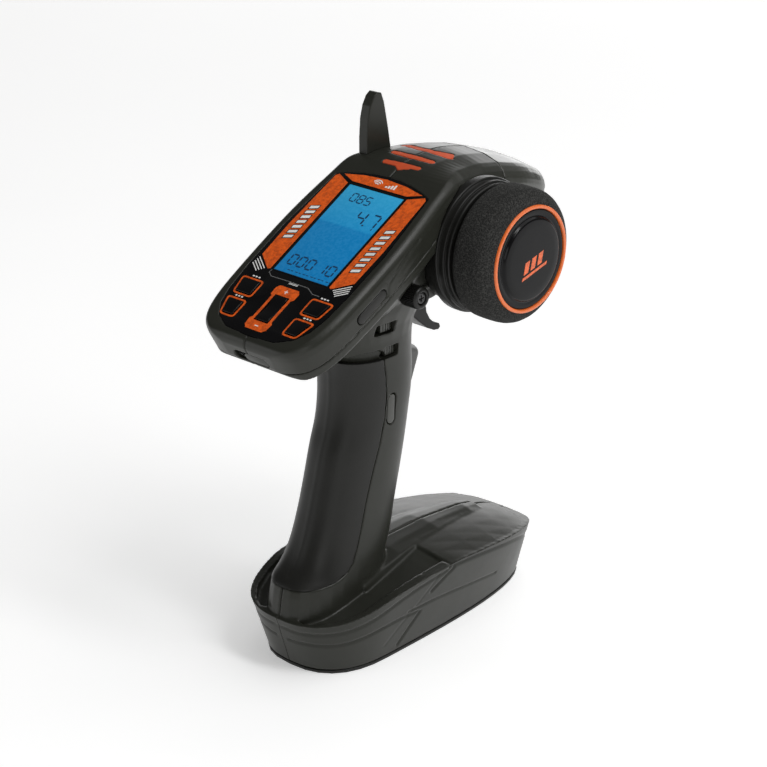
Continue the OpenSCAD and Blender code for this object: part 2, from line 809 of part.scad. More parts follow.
module battery_door() {
    color([0.1, 0.1, 0.095]) difference() {
        union() {
            translate([-16.6 + move_gap, bay_back + 1.5, floor_z])
                cube([33.2 - 2 * move_gap, bay_front - bay_back - 2.1, floor_t]);
            x_rod(bay_back + 1.5, floor_z + floor_t / 2, -16.6 + move_gap, 16.6 - move_gap, floor_t / 2);
        }
        for (k = [0:3]) {
            translate([-8, 78 + 2.6 * k, 0]) cube([16, 1.2, floor_z + 0.5]);
        }
    }
}

module battery_tray() {
    color([0.06, 0.06, 0.06]) difference() {
        translate([-16.6, bay_back, 4.2]) cube([33.2, bay_front - bay_back, 18.6]);
        translate([-15.2, bay_back + 1.4, 3]) cube([30.4, bay_front - bay_back - 2.8, cell_z - 3]);
        for (s = [-1, 1]) {
            translate([s * 7.5, bay_back + 1.4, cell_z]) rotate([-90, 0, 0])
                cylinder(r = cell_r + 0.2, h = bay_front - bay_back - 2.8, $fn = 48);
        }
        for (s = [-1, 1]) {
            translate([s * 7.5 - 3, bay_back - 1, 17]) cube([6, 40, 8]);
        }
    }
}

module battery_cells() {
    color([0.1, 0.2, 0.5]) for (s = [-1, 1]) {
        for (k = [0, 1]) {
            translate([s * 7.5, bay_back + 2.8 + cell_l * k, cell_z]) rotate([-90, 0, 0]) {
                cylinder(r = cell_r, h = cell_l - 1.3, $fn = 48);
                cylinder(r = 2.7, h = cell_l - 0.2, $fn = 32);
            }
        }
    }
}

module battery_springs() {
    color([0.6, 0.6, 0.6]) for (s = [-1, 1]) {
        translate([s * 7.5, bay_back + 2.2, cell_z]) rotate([-90, 0, 0])
            rotate_extrude($fn = 32) translate([3, 0]) circle(0.4, $fn = 16);
    }
}

module battery_contacts() {
    color([0.7, 0.7, 0.65]) for (s = [-1, 1]) {
        translate([s * 7.5 - 5, bay_back + 1.45, cell_z - 5]) cube([10, 0.3, 10]);
        translate([s * 7.5 - 5, bay_front - 1.75, cell_z - 5]) cube([10, 0.3, 10]);
    }
}

module foot_strip() {
    color([0.05, 0.05, 0.05]) linear_extrude(floor_z - gap) difference() {
        polygon(egg(-38.2, 107.2, 28.2, 2.5, 3));
        polygon(egg(-31, 100, 21, 2.5, 3));
    }
}

module battery_leads() {
    color([0.6, 0.05, 0.05]) for (s = [-1, 1]) {
        translate([s * 2.4, -6, 28]) rotate([-6, 0, 0]) cylinder(r = 0.8, h = 128, $fn = 20);
    }
}

// ---------- fasteners ----------

module case_screws() {
    color([0.3, 0.3, 0.3]) for (s = screw_spots) {
        x_rod(s[0], s[1], 1.2 - s[2], 2.95 - s[2], 2.4, $fn = 24);
        x_rod(s[0], s[1], 2.9 - s[2], 6.5, 1.1, $fn = 24);
    }
}

// ---------- assembly ----------

body_left();
body_right();
head_left();
head_right();
hood();
wheel_housing();
grip_sleeve();
antenna_fin();
antenna_element();
vent_inlays();
face_plate();
display();
main_board();
radio_module();
key_upper_left();
key_lower_left();
key_upper_right();
key_lower_right();
menu_rocker();
power_switch();
upper_grip_switch();
lower_grip_switch();
grip_button();
switch_board();
trim_knob();
trim_screw();
trim_sensor();
trigger();
trigger_pin();
trigger_spring();
trigger_sensor();
wheel_shaft();
wheel_hub();
foam_tyre();
wheel_ring();
wheel_cap();
wheel_screw();
return_spring();
steering_sensor();
port_flap_right();
port_flap_left();
base_floor();
battery_door();
battery_tray();
battery_cells();
battery_springs();
battery_contacts();
battery_leads();
foot_strip();
case_screws();
data_socket();
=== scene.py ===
"""Looks of the pistol-grip radio transmitter: mouldings, printed face, display, foam wheel and studio."""

import json
import math
from itertools import product

import bmesh
import bpy
import numpy as np
from mathutils import Matrix, Vector, kdtree


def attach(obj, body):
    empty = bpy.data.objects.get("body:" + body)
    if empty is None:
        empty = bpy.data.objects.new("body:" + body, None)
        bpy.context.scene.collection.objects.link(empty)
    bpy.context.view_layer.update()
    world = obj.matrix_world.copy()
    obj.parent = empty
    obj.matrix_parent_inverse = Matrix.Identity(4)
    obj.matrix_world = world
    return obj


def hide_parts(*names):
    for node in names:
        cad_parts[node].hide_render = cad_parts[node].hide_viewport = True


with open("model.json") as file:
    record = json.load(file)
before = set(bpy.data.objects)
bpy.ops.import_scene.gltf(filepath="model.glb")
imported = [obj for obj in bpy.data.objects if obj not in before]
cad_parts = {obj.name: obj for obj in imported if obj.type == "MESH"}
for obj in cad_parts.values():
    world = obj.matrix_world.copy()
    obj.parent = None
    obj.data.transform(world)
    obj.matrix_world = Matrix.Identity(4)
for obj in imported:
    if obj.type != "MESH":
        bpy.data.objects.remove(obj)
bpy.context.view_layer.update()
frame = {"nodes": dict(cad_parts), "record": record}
NODES = frame["nodes"]
MM = 0.001
FIXED = "transmitter"
rng = np.random.default_rng(7)

# camera: angles of view, distance and sideways offsets of the object, in degrees and metres
AZIMUTH = 42.6
ELEVATION = 22.9
DISTANCE = 1.092
OFFSET = (-0.0158, -0.1137)
LENS = 112.65

# the face: its origin and slope
FACE_TILT = math.radians(28.9)
FACE_ORIGIN = Vector((0, -4.5, 193.45))
FACE_X = Vector((1, 0, 0))
FACE_L = Vector((0, math.cos(FACE_TILT), math.sin(FACE_TILT)))
FACE_N = Vector((0, -math.sin(FACE_TILT), math.cos(FACE_TILT)))

WHEEL_Y = 49.7
WHEEL_Z = 182.4
DRUM_X0 = 22.0
TYRE_X0 = 40.6
TYRE_W = 20.0
TYRE_R = 29.8
RING_R = 23.2


# ---------- camera ----------

def add_camera():
    a = math.radians(AZIMUTH)
    e = math.radians(ELEVATION)
    back = Vector((math.sin(a) * math.cos(e), -math.cos(a) * math.cos(e), math.sin(e)))
    right = Vector((math.cos(a), math.sin(a), 0))
    up = back.cross(right)
    data = bpy.data.cameras.new("camera")
    data.lens = LENS
    data.sensor_width = 36
    data.clip_start = 0.05
    data.clip_end = 20
    cam = bpy.data.objects.new("camera", data)
    bpy.context.scene.collection.objects.link(cam)
    cam.location = back * DISTANCE - right * OFFSET[0] - up * OFFSET[1]
    cam.rotation_mode = "QUATERNION"
    cam.rotation_quaternion = Matrix((right, up, back)).transposed().to_quaternion()
    bpy.context.scene.camera = cam


add_camera()


# ---------- materials ----------

class Graph:
    """A material whose nodes are added one call at a time."""

    def __init__(self, name):
        self.mat = bpy.data.materials.new(name)
        self.mat.use_nodes = True
        self.tree = self.mat.node_tree
        self.bsdf = self.tree.nodes["Principled BSDF"]
        self.coord = self.add("ShaderNodeTexCoord").outputs["Object"]

    def add(self, kind, **inputs):
        node = self.tree.nodes.new(kind)
        for key, value in inputs.items():
            if isinstance(value, bpy.types.NodeSocket):
                self.tree.links.new(value, node.inputs[key])
            else:
                node.inputs[key].default_value = value
        return node

    def noise(self, scale, detail=4.0, rough=0.55):
        node = self.add("ShaderNodeTexNoise", Vector=self.coord, Scale=scale, Detail=detail,
                        Roughness=rough)
        return node.outputs["Fac"]

    def ramp(self, fac, stops):
        node = self.add("ShaderNodeValToRGB", Fac=fac)
        ramp = node.color_ramp
        while len(ramp.elements) < len(stops):
            ramp.elements.new(0.5)
        for element, (place, colour) in zip(ramp.elements, stops):
            element.position = place
            element.color = (*colour, 1)
        return node.outputs["Color"]

    def span(self, fac, low, high):
        node = self.add("ShaderNodeMapRange", Value=fac)
        node.inputs["To Min"].default_value = low
        node.inputs["To Max"].default_value = high
        return node.outputs["Result"]

    def bump(self, height, strength, distance, normal=None):
        node = self.add("ShaderNodeBump", Height=height, Strength=strength, Distance=distance)
        if normal is not None:
            self.tree.links.new(normal, node.inputs["Normal"])
        return node.outputs["Normal"]

    def set(self, **inputs):
        for key, value in inputs.items():
            socket = self.bsdf.inputs[key.replace("_", " ")]
            if isinstance(value, bpy.types.NodeSocket):
                self.tree.links.new(value, socket)
            else:
                socket.default_value = value


def tint(colour, k):
    return tuple(min(1, c * k) for c in colour)


def plastic(name, colour, rough, grain=900, depth=0.00003, spread=0.12, spec=0.4, coat=0.0):
    """Moulded plastic: spark-eroded grain, faint colour drift, rubbed and dull patches."""
    g = Graph(name)
    drift = g.noise(38, 5)
    g.set(Base_Color=g.ramp(drift, [(0.3, tint(colour, 1 - spread)), (0.7, tint(colour, 1 + spread))]))
    g.set(Roughness=g.span(g.noise(95, 6, 0.62), rough - 0.06, rough + 0.08))
    fine = g.bump(g.noise(grain, 3, 0.6), 0.55, depth)
    g.set(Normal=g.bump(g.noise(grain * 0.16, 3), 0.12, depth * 3, fine))
    g.set(Specular_IOR_Level=spec, Coat_Weight=coat, Coat_Roughness=0.08)
    return g.mat


def metal(name, colour, rough):
    """Drawn or plated metal with fine lines."""
    g = Graph(name)
    streak = g.add("ShaderNodeMapping", Vector=g.coord)
    streak.inputs["Scale"].default_value = (30, 900, 900)
    lines = g.add("ShaderNodeTexNoise", Vector=streak.outputs["Vector"], Scale=1.0, Detail=5.0)
    fac = lines.outputs["Fac"]
    g.set(Base_Color=g.ramp(fac, [(0.3, tint(colour, 0.85)), (0.7, tint(colour, 1.1))]))
    g.set(Roughness=g.span(fac, rough - 0.08, rough + 0.1), Metallic=1.0)
    g.set(Normal=g.bump(fac, 0.3, 0.00002))
    return g.mat


def foam_material():
    """Open-celled foam rubber."""
    g = Graph("foam")
    cells = g.add("ShaderNodeTexVoronoi", Vector=g.coord, Scale=1500.0)
    speck = g.noise(1700, 3, 0.7)
    blend = g.add("ShaderNodeMath")
    blend.operation = "MULTIPLY"
    g.tree.links.new(cells.outputs["Distance"], blend.inputs[0])
    g.tree.links.new(speck, blend.inputs[1])
    g.set(Base_Color=g.ramp(blend.outputs[0], [
        (0.04, (0.01, 0.01, 0.01)), (0.2, (0.024, 0.024, 0.023)), (0.5, (0.06, 0.06, 0.057))]))
    g.set(Roughness=g.span(g.noise(120), 0.86, 0.98), Specular_IOR_Level=0.15)
    pores = g.bump(cells.outputs["Distance"], 0.8, 0.0002)
    g.set(Normal=g.bump(g.noise(160, 4), 0.35, 0.0006, pores))
    return g.mat


def orange_material(name, colour, mottled):
    """Orange plastic or, when mottled, the speckled print of the face."""
    g = Graph(name)
    spots = g.noise(520, 4, 0.7)
    low, high = (tint(colour, 0.6), tint(colour, 1.2)) if mottled else (tint(colour, 0.9), tint(colour, 1.08))
    g.set(Base_Color=g.ramp(spots, [(0.36, low), (0.56, colour), (0.7, high)]))
    g.set(Roughness=g.span(g.noise(240), 0.3, 0.45), Coat_Weight=0.4, Coat_Roughness=0.12)
    g.set(Normal=g.bump(spots, 0.15, 0.00002))
    return g.mat


def gloss_material(name, colour=(0.0045, 0.0045, 0.005), rough=0.16):
    """Polished black plastic, slightly uneven."""
    g = Graph(name)
    g.set(Base_Color=g.ramp(g.noise(60), [(0.3, tint(colour, 0.8)), (0.7, tint(colour, 1.3))]))
    g.set(Roughness=g.span(g.noise(340, 5), rough - 0.05, rough + 0.07), Specular_IOR_Level=0.16)
    g.set(Normal=g.bump(g.noise(70, 2), 0.05, 0.0001))
    return g.mat


def display_material():
    """Backlit blue panel, paler towards its upper end, with a faint cell grid."""
    g = Graph("lit_display")
    split = g.add("ShaderNodeSeparateXYZ", Vector=g.coord)
    low = face_point(0, -27, 0)[2]
    high = face_point(0, 27, 0)[2]
    rise = g.add("ShaderNodeMapRange", Value=split.outputs["Z"])
    rise.inputs["From Min"].default_value = low
    rise.inputs["From Max"].default_value = high
    fade = g.ramp(rise.outputs["Result"], [
        (0.0, (0.001, 0.14, 0.35)), (0.565, (0.001, 0.15, 0.36)), (0.59, (0.007, 0.2, 0.42)),
        (1.0, (0.02, 0.26, 0.46))])
    grid = g.noise(700, 2)
    tone = g.add("ShaderNodeMixRGB", Fac=0.06, Color1=fade)
    g.tree.links.new(g.ramp(grid, [(0.4, (0.0, 0.1, 0.3)), (0.6, (0.1, 0.4, 0.7))]), tone.inputs["Color2"])
    g.set(Base_Color=tone.outputs["Color"], Emission_Color=tone.outputs["Color"], Emission_Strength=0.5)
    g.set(Roughness=g.span(g.noise(300), 0.1, 0.2), Coat_Weight=0.3, Coat_Roughness=0.04)
    return g.mat


def face_point(x, along, out):
    """World point in metres of a place on the face, in millimetres across, up and out of it."""
    p = (FACE_ORIGIN + FACE_X * x + FACE_L * along + FACE_N * out) * MM
    return p.x, p.y, p.z


CASE = (0.022, 0.023, 0.018)
MATS = {
    "case_plastic": plastic("case_plastic", CASE, 0.34, spec=0.3),
    # the hood's colour is the case colour lightened by 1.3: painted sheen, on top of its real coat
    "hood_plastic": plastic("hood_plastic", tint(CASE, 1.3), 0.34, spec=0.5, coat=0.35),
    "dark_plastic": plastic("dark_plastic", (0.009, 0.009, 0.008), 0.36, spec=0.3),
    "grip_rubber": plastic("grip_rubber", (0.012, 0.012, 0.0105), 0.4, grain=1500, depth=0.00004, spec=0.32),
    "foam": foam_material(),
    "gloss_black": gloss_material("gloss_black"),
    "orange_plastic": orange_material("orange_plastic", (0.85, 0.16, 0.02), False),
    "vent_red": plastic("vent_red", (0.62, 0.09, 0.03), 0.6, grain=1200, spread=0.16, spec=0.2),
    "display_glass": display_material(),
    "board_green": plastic("board_green", (0.02, 0.12, 0.05), 0.45),
    "sensor_black": plastic("sensor_black", (0.02, 0.02, 0.022), 0.5),
    "spring_steel": metal("spring_steel", (0.6, 0.6, 0.6), 0.3),
    "brass": metal("brass", (0.7, 0.5, 0.2), 0.3),
    "cell_wrap": plastic("cell_wrap", (0.03, 0.08, 0.25), 0.3),
    "lead_red": plastic("lead_red", (0.5, 0.02, 0.02), 0.45),
    "screw_black": metal("screw_black", (0.09, 0.09, 0.09), 0.35),
}
print_orange = orange_material("print_orange", (0.9, 0.125, 0.006), True)
print_white = plastic("print_white", (0.9, 0.9, 0.88), 0.4)
print_black = gloss_material("print_black", (0.006, 0.006, 0.006), 0.3)
print_grey = plastic("print_grey", (0.16, 0.16, 0.16), 0.4)
lcd_ink = plastic("lcd_ink", (0.008, 0.05, 0.13), 0.35)


def slot_of(node):
    for row in frame["record"]["subparts"]:
        if row["node"] == node:
            return row["material_slot"]
    return "case_plastic"


def paint(obj, mat):
    obj.data.materials.clear()
    obj.data.materials.append(mat)


for node_name, node_obj in NODES.items():
    paint(node_obj, MATS[slot_of(node_name)])


# ---------- making pieces ----------

def piece(name, verts, faces, slot, body=FIXED, mat=None, angle=32, stands_for=()):
    """A closed mesh given in metres, smooth except along edges sharper than angle."""
    mesh = bpy.data.meshes.new(name)
    mesh.from_pydata([tuple(v) for v in verts], [], [tuple(f) for f in faces])
    return finish_piece(name, mesh, slot, body, mat, angle, stands_for)


def finish_piece(name, mesh, slot, body=FIXED, mat=None, angle=32, stands_for=()):
    work = bmesh.new()
    work.from_mesh(mesh)
    bmesh.ops.recalc_face_normals(work, faces=work.faces)
    work.to_mesh(mesh)
    work.free()
    mesh.shade_smooth()
    mesh.set_sharp_from_angle(angle=math.radians(angle))
    obj = bpy.data.objects.new(name, mesh)
    bpy.context.scene.collection.objects.link(obj)
    paint(obj, mat or MATS[slot])
    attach(obj, body)
    if stands_for:
        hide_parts(*stands_for)
    return obj


def evaluated(obj):
    graph = bpy.context.evaluated_depsgraph_get()
    return bpy.data.meshes.new_from_object(obj.evaluated_get(graph), depsgraph=graph)


def cad_solid(node):
    """A clean copy of a CAD node's mesh: shared corners, flat faces in one piece."""
    work = bmesh.new()
    work.from_mesh(NODES[node].data)
    bmesh.ops.remove_doubles(work, verts=work.verts, dist=1e-6)
    bmesh.ops.dissolve_limit(work, angle_limit=math.radians(0.6), verts=work.verts, edges=work.edges)
    mesh = bpy.data.meshes.new(node + "_solid")
    work.to_mesh(mesh)
    work.free()
    return mesh


def rounded(name, node, width, body):
    """A CAD node with its hard edges rounded to width millimetres."""
    obj = bpy.data.objects.new("tmp_" + name, cad_solid(node))
    bpy.context.scene.collection.objects.link(obj)
    bevel = obj.modifiers.new("round", "BEVEL")
    bevel.width = width * MM
    bevel.segments = 3
    bevel.limit_method = "ANGLE"
    bevel.angle_limit = math.radians(38)
    bevel.use_clamp_overlap = True
    bevel.miter_outer = "MITER_ARC"
    mesh = evaluated(obj)
    bpy.data.objects.remove(obj)
    finish_piece(name, mesh, slot_of(node), body, angle=40, stands_for=(node,))


def remeshed(node, voxel):
    """Evenly divided skin of a CAD node: its vertices in millimetres and its mesh."""
    work = bmesh.new()
    work.from_mesh(NODES[node].data)
    bmesh.ops.remove_doubles(work, verts=work.verts, dist=1e-6)
    mesh = bpy.data.meshes.new("tmp_skin")
    work.to_mesh(mesh)
    work.free()
    obj = bpy.data.objects.new("tmp_skin", mesh)
    bpy.context.scene.collection.objects.link(obj)
    mod = obj.modifiers.new("skin", "REMESH")
    mod.mode = "VOXEL"
    mod.voxel_size = voxel * MM
    mod.adaptivity = 0
    out = evaluated(obj)
    bpy.data.objects.remove(obj)
    co = np.zeros(len(out.vertices) * 3, np.float32)
    out.vertices.foreach_get("co", co)
    return co.reshape(-1, 3).astype(float) / MM, out


def edges_of(mesh):
    """The two vertices of each edge."""
    pairs = np.zeros(len(mesh.edges) * 2, np.int32)
    mesh.edges.foreach_get("vertices", pairs)
    return pairs.reshape(-1, 2)


def relax(co, pairs, rounds, weight=None):
    """Laplacian smoothing that gives back most of the volume it takes."""
    n = len(co)
    count = np.bincount(pairs.ravel(), minlength=n)[:, None]
    k = np.ones((n, 1)) if weight is None else weight[:, None]
    for i in range(rounds * 2):
        mean = np.stack([
            np.bincount(pairs[:, 0], co[pairs[:, 1], c], n) + np.bincount(pairs[:, 1], co[pairs[:, 0], c], n)
            for c in range(3)], 1) / np.maximum(count, 1)
        co = co + (mean - co) * k * (0.6 if i % 2 == 0 else -0.56)
    return co


def normals_of(co, mesh):
    """Vertex normals of the mesh with its vertices at co."""
    set_co(mesh, co)
    n = np.zeros(len(mesh.vertices) * 3, np.float32)
    mesh.vertices.foreach_get("normal", n)
    return n.reshape(-1, 3).astype(float)


def set_co(mesh, co):
    mesh.vertices.foreach_set("co", (co * MM).astype(np.float32).ravel())
    mesh.update()


def curve_through(xs, ys, x):
    """Smooth monotone-friendly cubic through points, evaluated at x."""
    xs, ys = np.asarray(xs, float), np.asarray(ys, float)
    h = np.diff(xs)
    d = np.diff(ys) / h
    m = np.concatenate([[d[0]], (d[:-1] + d[1:]) / 2, [d[-1]]])
    flat = np.concatenate([[False], d[:-1] * d[1:] <= 0, [False]])
    m[flat] = 0
    i = np.clip(np.searchsorted(xs, x) - 1, 0, len(h) - 1)
    t = np.clip((x - xs[i]) / h[i], 0, 1)
    a, b = ys[i], ys[i + 1]
    return (a * (1 + 2 * t) * (1 - t) ** 2 + b * t * t * (3 - 2 * t)
            + m[i] * h[i] * t * (1 - t) ** 2 - m[i + 1] * h[i] * t * t * (1 - t))


def ease(x, low, high):
    t = np.clip((x - low) / (high - low), 0, 1)
    return t * t * (3 - 2 * t)


# ---------- the body's smooth surfaces ----------

# height, back, front and half width of the grip's sections
GRIP = np.array([
    [24, -44.5, 19, 19.4], [30, -44, 18.6, 18.8], [36, -43, 17.8, 18], [40.5, -41.8, 17.2, 17.4],
    [44, -38, 17.4, 17], [48, -34.4, 18.6, 16.8], [54, -30.8, 20.6, 16.5], [66, -26, 23.2, 16.2],
    [81, -21.6, 27, 16], [97, -17.2, 30.4, 16], [108, -13.4, 32, 16.2], [118, -11.6, 33.2, 16.6],
    [128, -11.2, 33.4, 17], [138, -12.4, 32.6, 17.6], [146, -15, 32.4, 18.6],
    [153, -19, 33.6, 20.4], [160, -23, 38, 22.8], [168, -22, 46, 25]])
OVAL_POWER = 2.4
# base: reach behind and in front of the origin, and half width, at its foot and at its rim
FOOT_BACK = 38.0
FOOT_FRONT = 107.0
FOOT_W = 28.0
BASE_BACK = 49.0
BASE_FRONT = 111.0
BASE_W = 35.8
WALL_LOW = 1.6
WALL_RISE = 34.4
BASE_MID = -5.0
HEEL_POWER = 2.5


def grip_level(co, smooth):
    """1 on the grip's outer surface, less inside; smooth or in straight steps between sections."""
    pick = (lambda k: curve_through(GRIP[:, 0], GRIP[:, k], co[:, 2])) if smooth else (
        lambda k: np.interp(co[:, 2], GRIP[:, 0], GRIP[:, k]))
    back, front, half = pick(1), pick(2), pick(3)
    mid = (back + front) / 2
    level = (np.abs(co[:, 0] / half) ** OVAL_POWER
             + np.abs((co[:, 1] - mid) / ((front - back) / 2)) ** OVAL_POWER) ** (1 / OVAL_POWER)
    return level, mid


def onto_grip(co, low, high):
    """Moves what lies on the grip's faceted skin onto its smooth one."""
    flat, _ = grip_level(co, False)
    level, mid = grip_level(co, True)
    near = (np.abs(flat - 1) < 0.035) & (co[:, 2] > low) & (co[:, 2] < high)
    k = near * ease(co[:, 2], low, low + 3) * (1 - ease(co[:, 2], high - 8, high))
    k = k * (1 - ease(np.abs(flat - 1), 0.02, 0.035))
    f = 1 + (1 / np.maximum(level, 0.5) - 1) * k
    out = co.copy()
    out[:, 0] = co[:, 0] * f
    out[:, 1] = mid + (co[:, 1] - mid) * f
    return out


def base_section(z):
    """Back, front, half width and roundness of the nose, in the base's section at height z."""
    t = np.clip((z - WALL_LOW) / WALL_RISE, 0, 1.2)
    back = -FOOT_BACK - (BASE_BACK - FOOT_BACK) * t
    front = FOOT_FRONT + (BASE_FRONT - FOOT_FRONT) * t
    return back, front, FOOT_W + (BASE_W - FOOT_W) * t, 3 + 0.5 * t


def base_level(co):
    """1 on the base's side wall, less inside."""
    back, front, half, power = base_section(co[:, 2])
    y = co[:, 1] - BASE_MID
    behind = y < 0
    u = np.where(behind, y / (back - BASE_MID), y / (front - BASE_MID))
    p = np.where(behind, HEEL_POWER, power)
    return (np.abs(co[:, 0] / half) ** p + np.clip(u, 0, 2) ** p) ** (1 / p)


def onto_base(co):
    """Moves what lies on the faceted wall of the base onto its smooth shape."""
    level = base_level(co)
    k = (1 - ease(np.abs(level - 1), 0.02, 0.04)) * (co[:, 2] > 2) * (1 - ease(co[:, 2], 36, 38))
    f = 1 + (1 / np.maximum(level, 0.5) - 1) * k
    out = co.copy()
    out[:, 0] = co[:, 0] * f
    out[:, 1] = BASE_MID + (co[:, 1] - BASE_MID) * f
    return out


# position along the base, height of its rim and of its crown
CROWN = np.array([
    [-51, 25, 25.2], [-42, 26.5, 26.8], [-32, 28.2, 28.6], [-22, 30.4, 31], [-10, 33.5, 34.2],
    [4, 35.2, 36.8], [20, 36.2, 38.8], [34, 36.2, 39.6], [50, 34.6, 39.4], [66, 32.2, 38.1],
    [82, 28.4, 35.8], [97, 23.4, 31.8], [105, 20, 27], [114, 16, 19.6]])
CROWN_POWER = 2.2


def crown_height(x, y, smooth):
    """Height of the base's top at x, y; smooth or in the straight steps of its sections."""
    def sag(a):
        return np.minimum(1.6, (a / BASE_W) ** CROWN_POWER)

    if smooth:
        rim, top = (curve_through(CROWN[:, 0], CROWN[:, k], y) for k in (1, 2))
        return top + (rim - top) * sag(np.abs(x))
    rim, top = (np.interp(y, CROWN[:, 0], CROWN[:, k]) for k in (1, 2))
    station = 42 / 5
    i = np.minimum(np.floor(np.abs(x) / station), 4)
    t = np.abs(x) / station - i
    return top + (rim - top) * (sag(i * station) * (1 - t) + sag((i + 1) * station) * t)


def onto_crown(co):
    """Moves what lies on the faceted top of the base onto its smooth shape."""
    flat = crown_height(co[:, 0], co[:, 1], False)
    smooth = crown_height(co[:, 0], co[:, 1], True)
    k = (1 - ease(np.abs(co[:, 2] - flat), 0.35, 0.7)) * (co[:, 2] < 42) * (base_level(co) < 1.05)
    out = co.copy()
    out[:, 2] += (smooth - flat) * k
    return out


def sampled(points, step=0.4):
    """Points every step millimetres along a smooth line through the given ones."""
    pts = np.array(points, float)
    along = np.concatenate([[0], np.cumsum(np.linalg.norm(np.diff(pts, axis=0), axis=1))])
    n = max(2, int(along[-1] / step))
    s = np.linspace(0, along[-1], n)
    return np.stack([curve_through(along, pts[:, c], s) for c in range(3)], 1)


def carve(co, normal, lines):
    """Presses each line [points, half width, depth] into the surface; a negative depth raises it."""
    out = co.copy()
    for points, width, depth in lines:
        path = sampled(points)
        tree = kdtree.KDTree(len(path))
        for i, p in enumerate(path):
            tree.insert(p, i)
        tree.balance()
        low, high = path.min(0) - width * 2.5, path.max(0) + width * 2.5
        for i in np.nonzero(((co > low) & (co < high)).all(1))[0]:
            d = tree.find(co[i])[2]
            if d < width * 2.4:
                out[i] -= normal[i] * depth * math.exp(-(d / width) ** 2)
    return out


def wall_point(y, z):
    """The point of the base's right wall at a given y and z."""
    back, front, half, p = (float(v) for v in base_section(z))
    u = (y - BASE_MID) / (front - BASE_MID)
    if y < BASE_MID:
        u, p = (BASE_MID - y) / (BASE_MID - back), HEEL_POWER
    return (half * max(0, 1 - min(1, u) ** p) ** (1 / p), y, z)


# ---------- body halves ----------

def both(points):
    """A line and its mirror image across the seam plane."""
    return [points, [(-x, y, z) for x, y, z in points]]


def side_lines():
    """Grooves and raised edges of the base's side walls, as [points, half width, depth]."""
    heel = [(-42.4, 15.6), (-40.4, 16.1), (-31.8, 16.3), (-14.6, 18.8), (0, 19.4), (11.4, 18.4)]
    rim = [(-45.6, 21.8), (-40, 22.3), (-30, 23.6), (-18, 26.2), (-6, 29.4), (6, 31.8), (20, 33.4), (27, 34)]
    edge = [(29, 35.2), (46, 33.6), (62.5, 31.2), (82, 27.2), (94, 23.6), (102, 20.4)]
    front_low = [(4.7, 21), (26.2, 20.2), (52, 17.2), (70, 14.4)]
    slant_top = [(32.3, 33.6), (25.7, 30.4), (18.6, 26.4)]
    slant_low = [(13, 17.6), (7.5, 11.6), (1.3, 4.6)]
    slant_back = [(22.6, 34.5), (18, 30), (10, 23), (0, 15), (-8, 8)]
    lines = []
    for run, width, depth in [(heel, 0.7, 0.6), (rim, 0.8, 0.55), (edge, 0.9, 0.8), (front_low, 0.65, 0.5),
                              (slant_top, 0.75, 0.65), (slant_low, 0.75, 0.65), (slant_back, 0.7, 0.12)]:
        lines += [(p, width, depth) for p in both([wall_point(y, z) for y, z in run])]
    return lines


def top_lines():
    """Edges on top of the base: the step beside the ridge and the rounded lip of the low ground."""
    step = [(19.5, 28.4, 40.6), (24, 28.8, 39.6), (30, 29.2, 37.4), (34.6, 29.6, 35.6)]
    lip = [(0.2, -43.6, 26.2), (10, -42.2, 26.6), (19.6, -36.6, 27.6), (26, -27, 29.4),
           (30, -14, 32.2), (31.8, 0, 34.6), (32.2, 12, 35.6)]
    return [(p, 0.8, 0.5) for p in both(step)] + [(p, 1.3, -0.35) for p in both(lip)]


def feature_guard(co):
    """0 near slots and holes that must stay crisp, 1 elsewhere."""
    k = np.ones(len(co))
    upper_switch, lower_switch = ((20, 2.9, 153.6), (8, 8.4, 5)), ((18, 9, 140.8), (7, 7, 5))
    button, trigger = ((16, 10.7, 113), (5, 6, 11)), ((0, 45, 160), (8, 18, 14))
    dial = ((24, 8, 170), (14, 6, 6))
    for centre, reach in (upper_switch, lower_switch, button, trigger, dial):
        d = np.abs(co - np.array(centre)) / np.array(reach)
        k = np.minimum(k, ease(d.max(1), 0.9, 1.25))
    return k


def body_shell(name, node):
    """Half of the body: smooth grip, base and crown, blended where they meet, with its carved lines."""
    co, mesh = remeshed(node, 0.52)
    pairs = edges_of(mesh)
    co = onto_crown(onto_base(onto_grip(co, 41, 150)))
    guard = feature_guard(co)
    co = relax(co, pairs, 2)
    neck = ease(co[:, 2], 143, 150) * guard
    foot = ease(co[:, 2], 22, 25) * (1 - ease(co[:, 2], 42, 47)) * (np.abs(co[:, 0]) < 24) * (co[:, 1] < 30)
    inner = base_level(co) < 0.93
    ridge = ease(co[:, 1], 26, 32) * ease(co[:, 2], 30, 33) * (co[:, 2] < 44) * (np.abs(co[:, 0]) < 22)
    co = relax(co, pairs, 22, np.clip(neck + (foot + ridge) * inner, 0, 1))
    co = relax(co, pairs, 3, guard)
    co = carve(co, normals_of(co, mesh), side_lines() + top_lines())
    set_co(mesh, co)
    return finish_piece(name, mesh, "case_plastic", angle=60, stands_for=(node,))


def head_shell(name, node, rounds, slot="case_plastic", voxel=0.42, body=FIXED, lines=()):
    """A moulding taken from its CAD node, softened by some rounds of smoothing."""
    co, mesh = remeshed(node, voxel)
    co = relax(co, edges_of(mesh), rounds)
    if lines:
        co = carve(co, normals_of(co, mesh), lines)
    set_co(mesh, co)
    return finish_piece(name, mesh, slot, body, angle=60, stands_for=(node,))


def face_line(points):
    """Points given beside the face as [x, along, out], in world millimetres."""
    return [tuple(c / MM for c in face_point(*p)) for p in points]


